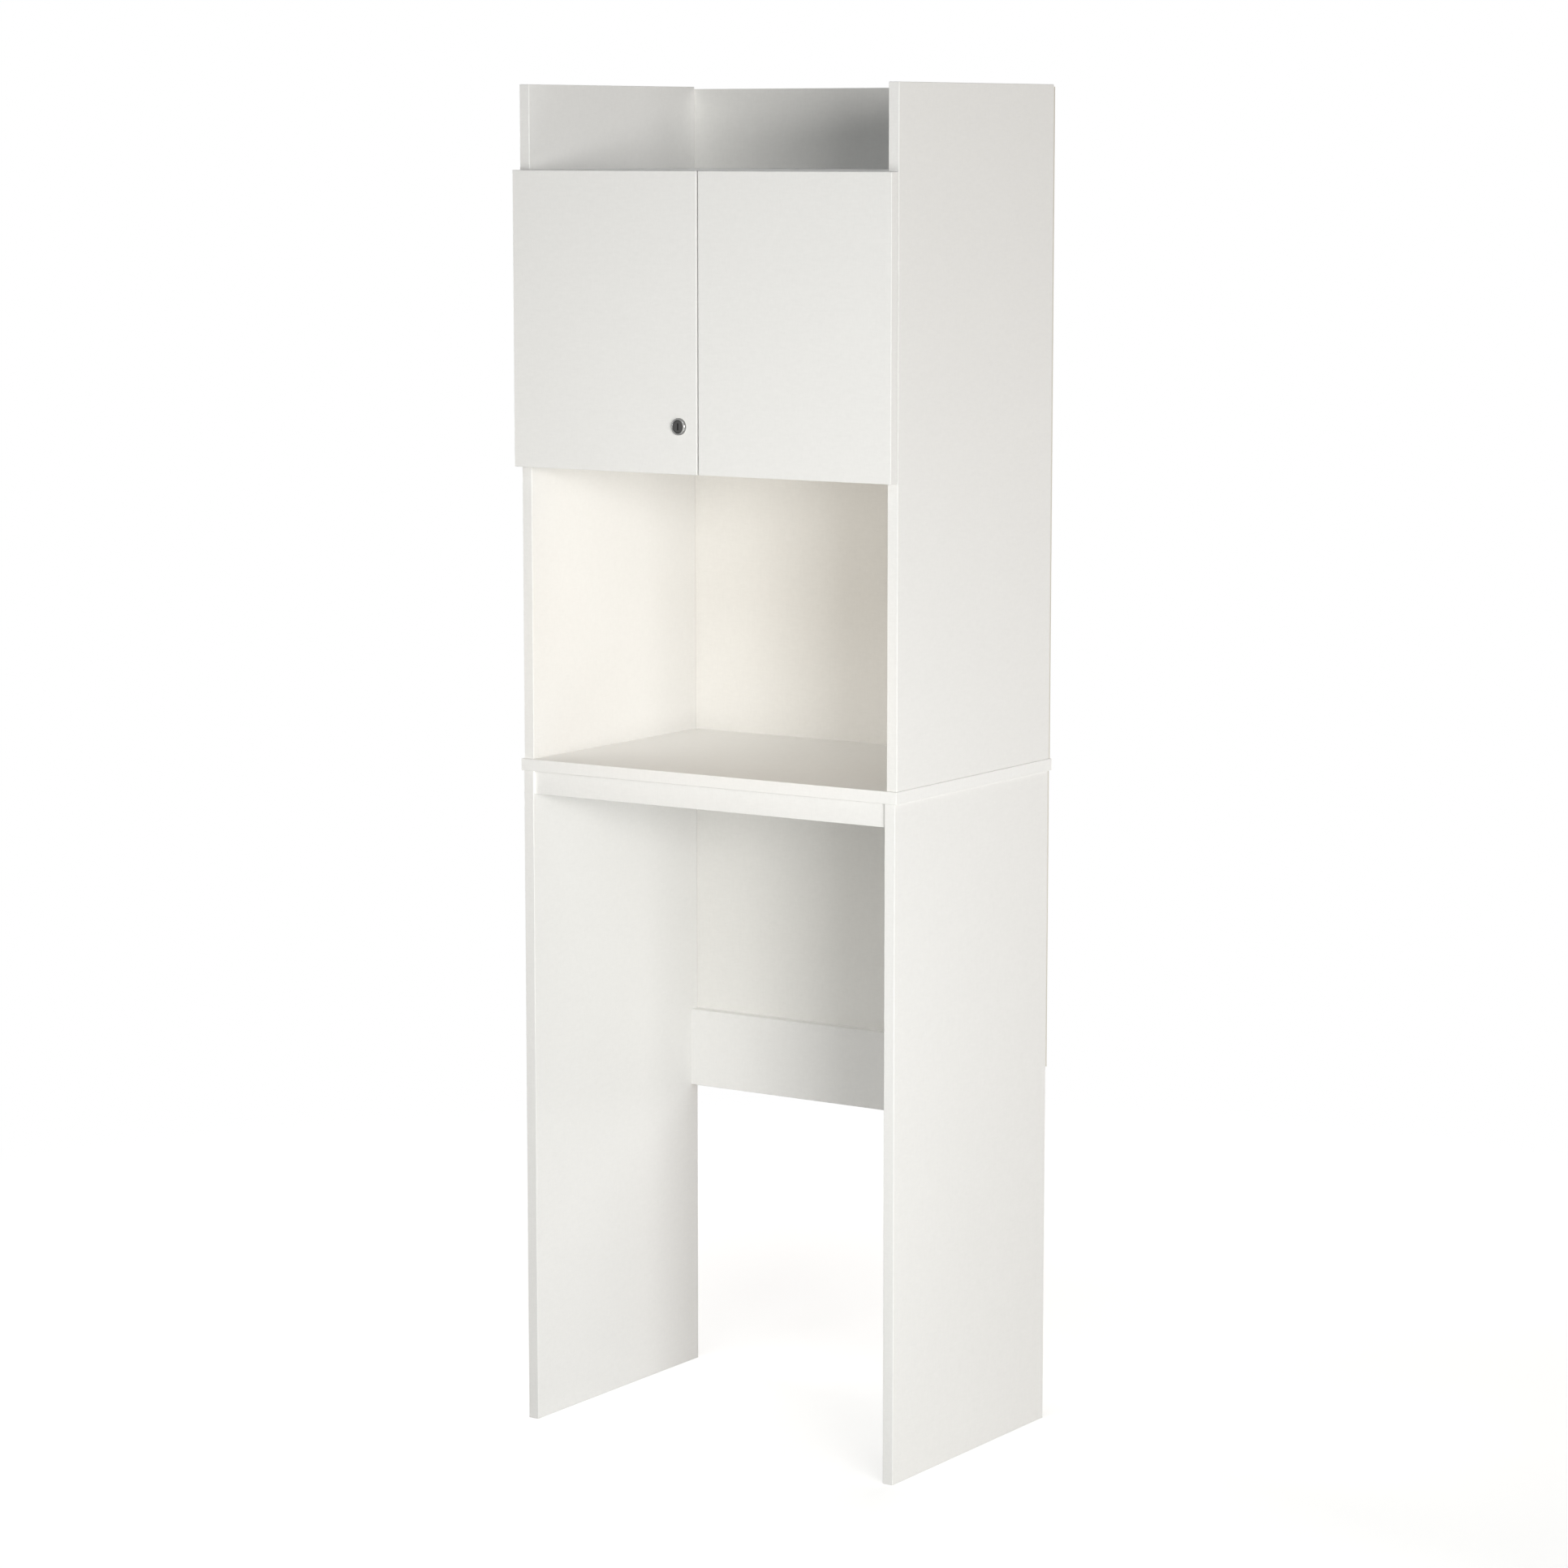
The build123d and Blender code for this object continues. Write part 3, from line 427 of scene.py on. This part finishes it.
def solidsOf(name):
    # the separate solids of a node, each as its lowest and highest corner
    shape = bmesh.new()
    shape.from_mesh(nodes[name].data)
    bmesh.ops.remove_doubles(shape, verts=shape.verts, dist=sameSpot)
    boxes, seen = [], set()
    for start in shape.verts:
        if start in seen:
            continue
        seen.add(start)
        reached = [start]
        for vert in reached:
            for edge in vert.link_edges:
                other = edge.other_vert(vert)
                if other not in seen:
                    seen.add(other)
                    reached.append(other)
        low = Vector([min(vert.co[way] for vert in reached) for way in range(3)])
        high = Vector([max(vert.co[way] for vert in reached) for way in range(3)])
        boxes.append((low, high))
    shape.free()
    return boxes


def seatsOf(name, out):
    # the middle of each solid's outer end, with local Z pointing out of the board
    # where no way is given, out is towards the middle of the cabinet
    seats = []
    for low, high in solidsOf(name):
        middle = (low + high) / 2
        way = Vector(out) if out else Vector((-1 if middle.x > 0 else 1, 0, 0))
        reach = abs((high - low).dot(way)) / 2
        turn = way.to_track_quat("Z", "Y").to_matrix().to_4x4()
        seats.append(Matrix.Translation(middle + way * reach) @ turn)
    return seats


def setPiece(name, node, body, shape, seats, finish, slot):
    # one piece made of a copy of the shape at every seat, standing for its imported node
    joined = bmesh.new()
    for seat in seats:
        one = shape.copy()
        one.transform(seat)
        joined.from_mesh(one)
        bpy.data.meshes.remove(one)
    mesh = bpy.data.meshes.new(name)
    joined.to_mesh(mesh)
    joined.free()
    mesh.shade_smooth()
    mesh.set_sharp_from_angle(angle=sharpFrom)
    mesh.materials.append(finish)
    piece = bpy.data.objects.new(name, mesh)
    bpy.context.scene.collection.objects.link(piece)
    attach(piece, body)
    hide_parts(node)


# Round-headed screws with a cross recess
roundScrew = {
    "headRadius": 3.2,
    "headHeight": 1.8,
    "crown": 0.55,
    "crownAngles": (90, 68, 46, 24, 0),
    "shankRadius": 1.6,
    "crossReach": 1.9,
    "crossWidth": 0.75,
    "crossDepth": 1.25,
    "crossTaper": 0.35,
    "crossAbove": 0.1,
    "headBevel": 0.15,
    "tip": 0.8,
}
roundScrewNodes = {  # piece, body, way that the heads face, length in millimetres
    "plate_screws": ("plateScrews", "cabinet", None, 15.8),
    "arm_screws": ("armScrews", "cabinet", None, 10.95),
    "left_cup_screws": ("leftCupScrews", "left_door", (0, 1, 0), 14.6),
    "right_cup_screws": ("rightCupScrews", "right_door", (0, 1, 0), 14.6),
    "lock_strike_screws": ("strikeScrews", "cabinet", (0, 0, 1), 15.8),
    "bolt_screws": ("boltScrews", "right_door", (0, 1, 0), 15.3),
}


def crossCutter(look):
    reach, half = look["crossReach"], look["crossWidth"] / 2
    corners = [(reach, -half), (reach, half), (half, half), (half, reach), (-half, reach), (-half, half)]
    corners += [(-x, -y) for x, y in corners]
    narrowed = [(look["crossTaper"] * x, look["crossTaper"] * y) for x, y in corners]
    return prism([(look["crossAbove"], corners), (-look["crossDepth"], narrowed)])


def screwShape(look, length):
    radius, height, crown = look["headRadius"], look["headHeight"], look["crown"]
    rise = [math.radians(angle) for angle in look["crownAngles"]]
    dome = [(radius * math.sin(angle), height * crown * (math.cos(angle) - 1)) for angle in rise]
    shank, bevel = look["shankRadius"], look["headBevel"]
    profile = [(0, -length), (shank, look["tip"] * shank - length)]
    profile += [(shank, -height), (radius - bevel, -height), (radius, bevel - height)]
    return carved(turned(profile + dome), crossCutter(look))


zincPlated = (metalLooks["zincPlate"], "zinc_plate")
for node, (name, body, out, length) in roundScrewNodes.items():
    setPiece(name, node, body, screwShape(roundScrew, length), seatsOf(node, out), *zincPlated)
print("screws made")

# Nails of the two thin backs, with domed heads
panelNail = {"steps": 24, "profile": [
    (0, -18.7), (0.9, -17.0), (0.9, -0.7), (2.3, -0.7), (2.4, -0.55), (2.1, -0.25), (1.2, -0.06), (0, 0),
]}
nailShape = turned(panelNail["profile"], steps=panelNail["steps"])
nailSeats = seatsOf("back_panel_nails", (0, 1, 0))
setPiece("panelNails", "back_panel_nails", "cabinet", nailShape, nailSeats, *zincPlated)

# Shelf pins: a peg with a collar against the side
shelfPin = {"steps": 32, "profile": [
    (0, -19.0), (2.2, -19.0), (2.5, -18.6), (2.5, -9.0), (3.5, -9.0), (3.5, -7.9),
    (3.3, -7.7), (3.3, -7.5), (3.5, -7.3), (3.5, -0.7), (3.3, -0.2), (2.8, 0), (0, 0),
]}
pinShape = turned(shelfPin["profile"], steps=shelfPin["steps"])
setPiece("shelfPegs", "shelf_pins", "cabinet", pinShape, seatsOf("shelf_pins", None), *zincPlated)

# Soft dots that the doors close on
doorDot = {"steps": 36, "profile": [
    (0, -1.4), (4.5, -1.4), (4.5, -1.1), (4.3, -0.75), (3.7, -0.4), (2.6, -0.12), (1.3, -0.02), (0, 0),
]}
softRubber = (softerLooks["bumperRubber"], "bumper_rubber")
dotShape = turned(doorDot["profile"], steps=doorDot["steps"])
for side in ("left", "right"):
    door = side + "_door"
    dotSeats = seatsOf(door + "_bumpers", (0, 1, 0))
    setPiece(side + "DoorDots", door + "_bumpers", door, dotShape, dotSeats, *softRubber)
print("nails, pegs and dots made")

# Lock: the domed housing with its threaded barrel, and the nut that holds it
lock = {
    "bezelRadius": 11.4,
    "bezelHeight": 3.6,
    "bezelRound": 2.3,
    "roundAngles": range(0, 91, 10),
    "mouth": 8.9,
    "plugSeat": (8.45, 0.6, 4.65),  # radius, top and bottom under the bezel's face
    "bore": 6.85,
    "barrel": 9.5,
    "length": 26.3,
    "thread": (0.35, 1.0, 9),  # depth, pitch, turns
    "barrelBevel": 0.4,
    "steps": 72,
    "nutFlats": 24.0,
    "nutHeight": 4.0,
    "nutHole": 9.55,
    "nutBevel": 0.9,
    "nutInset": 0.2,
    "cornerSpare": 0.1,
    "cutSpare": 0.5,
}


def housingShape():
    seat, sunk, seatDepth = lock["plugSeat"]
    edge, crown, rim = lock["bezelRadius"], lock["bezelRound"], -lock["bezelHeight"]
    bore, barrel, bevel, end = lock["bore"], lock["barrel"], lock["barrelBevel"], -lock["length"]
    arc = [math.radians(angle) for angle in lock["roundAngles"]]
    dome = [(edge - crown + crown * math.sin(angle), crown * (math.cos(angle) - 1)) for angle in arc]
    profile = [(bore, end), (bore, -seatDepth), (seat, -seatDepth), (seat, -sunk), (lock["mouth"], 0)]
    profile += dome + [(edge, rim), (barrel, rim)]
    deep, pitch, turns = lock["thread"]
    foot = end + bevel
    for ridge in range(turns, 0, -1):
        top = foot + ridge * pitch
        profile += [(barrel, top), (barrel - deep, top - pitch / 2)]
    profile += [(barrel, foot), (barrel - bevel, end)]
    return turned(profile, closed=True, steps=lock["steps"])


def nutShape():
    flats, height, spare = lock["nutFlats"] / 2, lock["nutHeight"], lock["cutSpare"]
    corner = lock["nutFlats"] / math.sqrt(3)
    turns = [math.pi * (side + 0.5) / 3 for side in range(6)]
    hexagon = [(corner * math.cos(turn), corner * math.sin(turn)) for turn in turns]
    face, rim, bevel = flats - lock["nutInset"], corner + lock["cornerSpare"], lock["nutBevel"]
    ring = [(lock["nutHole"], -height), (lock["nutHole"], 0), (face, 0), (rim, -bevel)]
    ring += [(rim, bevel - height), (face, -height)]
    stock = prism([(-height - spare, hexagon), (spare, hexagon)])
    return carved(stock, turned(ring, closed=True, steps=lock["steps"]), "INTERSECT")


housingSeats = seatsOf("lock_housing", (0, -1, 0))
chromed = (metalLooks["lockChrome"], "lock_chrome")
setPiece("lockHousing", "lock_housing", "left_door", housingShape(), housingSeats, *chromed)
setPiece("lockNut", "lock_nut", "left_door", nutShape(), seatsOf("lock_nut", (0, 1, 0)), *zincPlated)
print("lock made")


# Floor, background and lamps
studio = {  # the cabinet is lit by floorColour, and the camera sees floorSeen with its glow
    "floorSize": 12.0,
    "floorColour": (0.50, 0.50, 0.495, 1.0),
    "floorSeen": (0.80, 0.80, 0.795, 1.0),
    "floorGlow": 0.52,
    "fadeFrom": 0.9,
    "fadeTo": 2.2,
    "fill": 0.0,
    "aim": (0.0, 0.0, 0.95),
}
lamps = {  # watts, and metres for place and size
    "keyLamp": {
        "place": (7.9, -6.15, 1.8), "size": (4.5, 3.0),
        "power": 622.0, "colour": (1.0, 0.99, 0.965),
    },
    "rightLamp": {
        "place": (5.9, 1.05, 1.6), "size": (2.5, 2.5),
        "power": 26.0, "colour": (1.0, 0.86, 0.72),
    },
    "highLamp": {
        "place": (1.37, -3.76, 4.2), "size": (2.0, 2.0),
        "power": 36.0, "colour": (0.95, 0.98, 1.0),
    },
    "lowLamp": {
        "place": (1.27, -0.8, 0.5), "size": (0.9, 0.8),
        "power": 4.4, "colour": (0.96, 1.0, 1.0),
    },
    "frontLamp": {
        "place": (-0.1, -1.5, 1.15), "size": (0.9, 0.9),
        "power": 5.8, "colour": (1.0, 0.98, 0.93),
    },
    "backLamp": {
        "place": (0.0, 3.0, 0.8), "size": (2.5, 1.5),
        "power": 48.0, "colour": (1.0, 0.97, 0.96),
    },
    "leftLamp": {
        "place": (-4.0, 0.5, 1.4), "size": (2.0, 2.0),
        "power": 100.0, "colour": (1.0, 0.98, 0.96),
    },
    "topLamp": {
        "place": (-0.9, 1.7, 3.6), "size": (1.5, 1.5),
        "power": 12.0, "colour": (1.0, 0.99, 0.97),
    },
    "bayLamp": {
        "place": (0.0, -0.23, 1.13), "size": (0.5, 0.34),
        "power": 0.11, "colour": (1.0, 0.74, 0.46),
        "aim": (0.0, 0.2, 1.05), "inMirrors": False,
    },
}


def seenPlainly(tree):
    # 1 where the camera looks, straight or by way of a mirror or glass
    path = addNode(tree, "LightPath").outputs
    straight = calc(tree, "MAXIMUM", path["Is Camera Ray"], path["Is Glossy Ray"])
    return calc(tree, "MAXIMUM", straight, path["Is Transmission Ray"])


def makeWorld():
    world = bpy.data.worlds.new("studioWorld")
    bpy.context.scene.world = world
    world.use_nodes = True
    tree = world.node_tree
    tree.nodes.clear()
    fill = addNode(tree, "Background", {"Color": (1, 1, 1, 1), "Strength": studio["fill"]})
    white = addNode(tree, "Background", {"Color": (1, 1, 1, 1), "Strength": 1.0})
    mixed = addNode(tree, "MixShader", {0: seenPlainly(tree), 1: fill.outputs[0], 2: white.outputs[0]})
    addNode(tree, "OutputWorld", {"Surface": mixed.outputs[0]})


def makeFloor():
    half = studio["floorSize"] / 2
    corners = [(-half, -half, 0), (half, -half, 0), (half, half, 0), (-half, half, 0)]
    mesh = bpy.data.meshes.new("studioFloor")
    mesh.from_pydata(corners, [], [(0, 1, 2, 3)])
    floor = bpy.data.objects.new("studioFloor", mesh)
    bpy.context.scene.collection.objects.link(floor)
    finish, tree = newFinish("paleFloor")
    reach = addNode(tree, "VectorMath", {0: objectPlace(tree)}, operation="LENGTH").outputs["Value"]
    values = {"Value": reach, "From Min": studio["fadeFrom"], "From Max": studio["fadeTo"]}
    fade = addNode(tree, "MapRange", values, interpolation_type="SMOOTHSTEP").outputs["Result"]
    plain = addNode(tree, "BsdfDiffuse", {"Color": studio["floorColour"]})
    glow = addNode(tree, "Emission", {"Strength": studio["floorGlow"]})
    seen = addNode(tree, "BsdfDiffuse", {"Color": studio["floorSeen"]})
    lit = addNode(tree, "AddShader", {0: seen.outputs[0], 1: glow.outputs[0]})
    white = addNode(tree, "Emission", {"Strength": 1.0})
    shown = addNode(tree, "MixShader", {0: fade, 1: lit.outputs[0], 2: white.outputs[0]})
    mixed = addNode(tree, "MixShader", {0: seenPlainly(tree), 1: plain.outputs[0], 2: shown.outputs[0]})
    addNode(tree, "OutputMaterial", {"Surface": mixed.outputs[0]})
    mesh.materials.append(finish)


def makeLamp(name, lamp):
    data = bpy.data.lights.new(name, "AREA")
    data.shape = "RECTANGLE"
    data.size, data.size_y = lamp["size"]
    data.energy, data.color = lamp["power"], lamp["colour"]
    holder = bpy.data.objects.new(name, data)
    holder.location = lamp["place"]
    towards = Vector(lamp.get("aim", studio["aim"])) - Vector(lamp["place"])
    holder.rotation_euler = towards.to_track_quat("-Z", "Y").to_euler()
    holder.visible_camera = False
    holder.visible_glossy = lamp.get("inMirrors", True)
    bpy.context.scene.collection.objects.link(holder)


makeWorld()
makeFloor()
for name, lamp in lamps.items():
    makeLamp(name, lamp)
print("studio lit")


# Camera, at the photograph's viewing angle
view = {  # metres for place and farthest, degrees for tip and turn, millimetres for lens and sensor
    "place": (3.4399, -5.2082, 1.7672),
    "tip": 82.017,
    "turn": 33.435,
    "lens": 105.98,
    "sensor": 36.0,
    "farthest": 50.0,
}
eye = bpy.data.cameras.new("photoCamera")
eye.lens, eye.sensor_width = view["lens"], view["sensor"]
eye.clip_end = view["farthest"]
stand = bpy.data.objects.new("photoCamera", eye)
stand.location = view["place"]
stand.rotation_euler = (math.radians(view["tip"]), 0.0, math.radians(view["turn"]))
bpy.context.scene.collection.objects.link(stand)
bpy.context.scene.camera = stand
bpy.context.scene.view_settings.view_transform = "Standard"
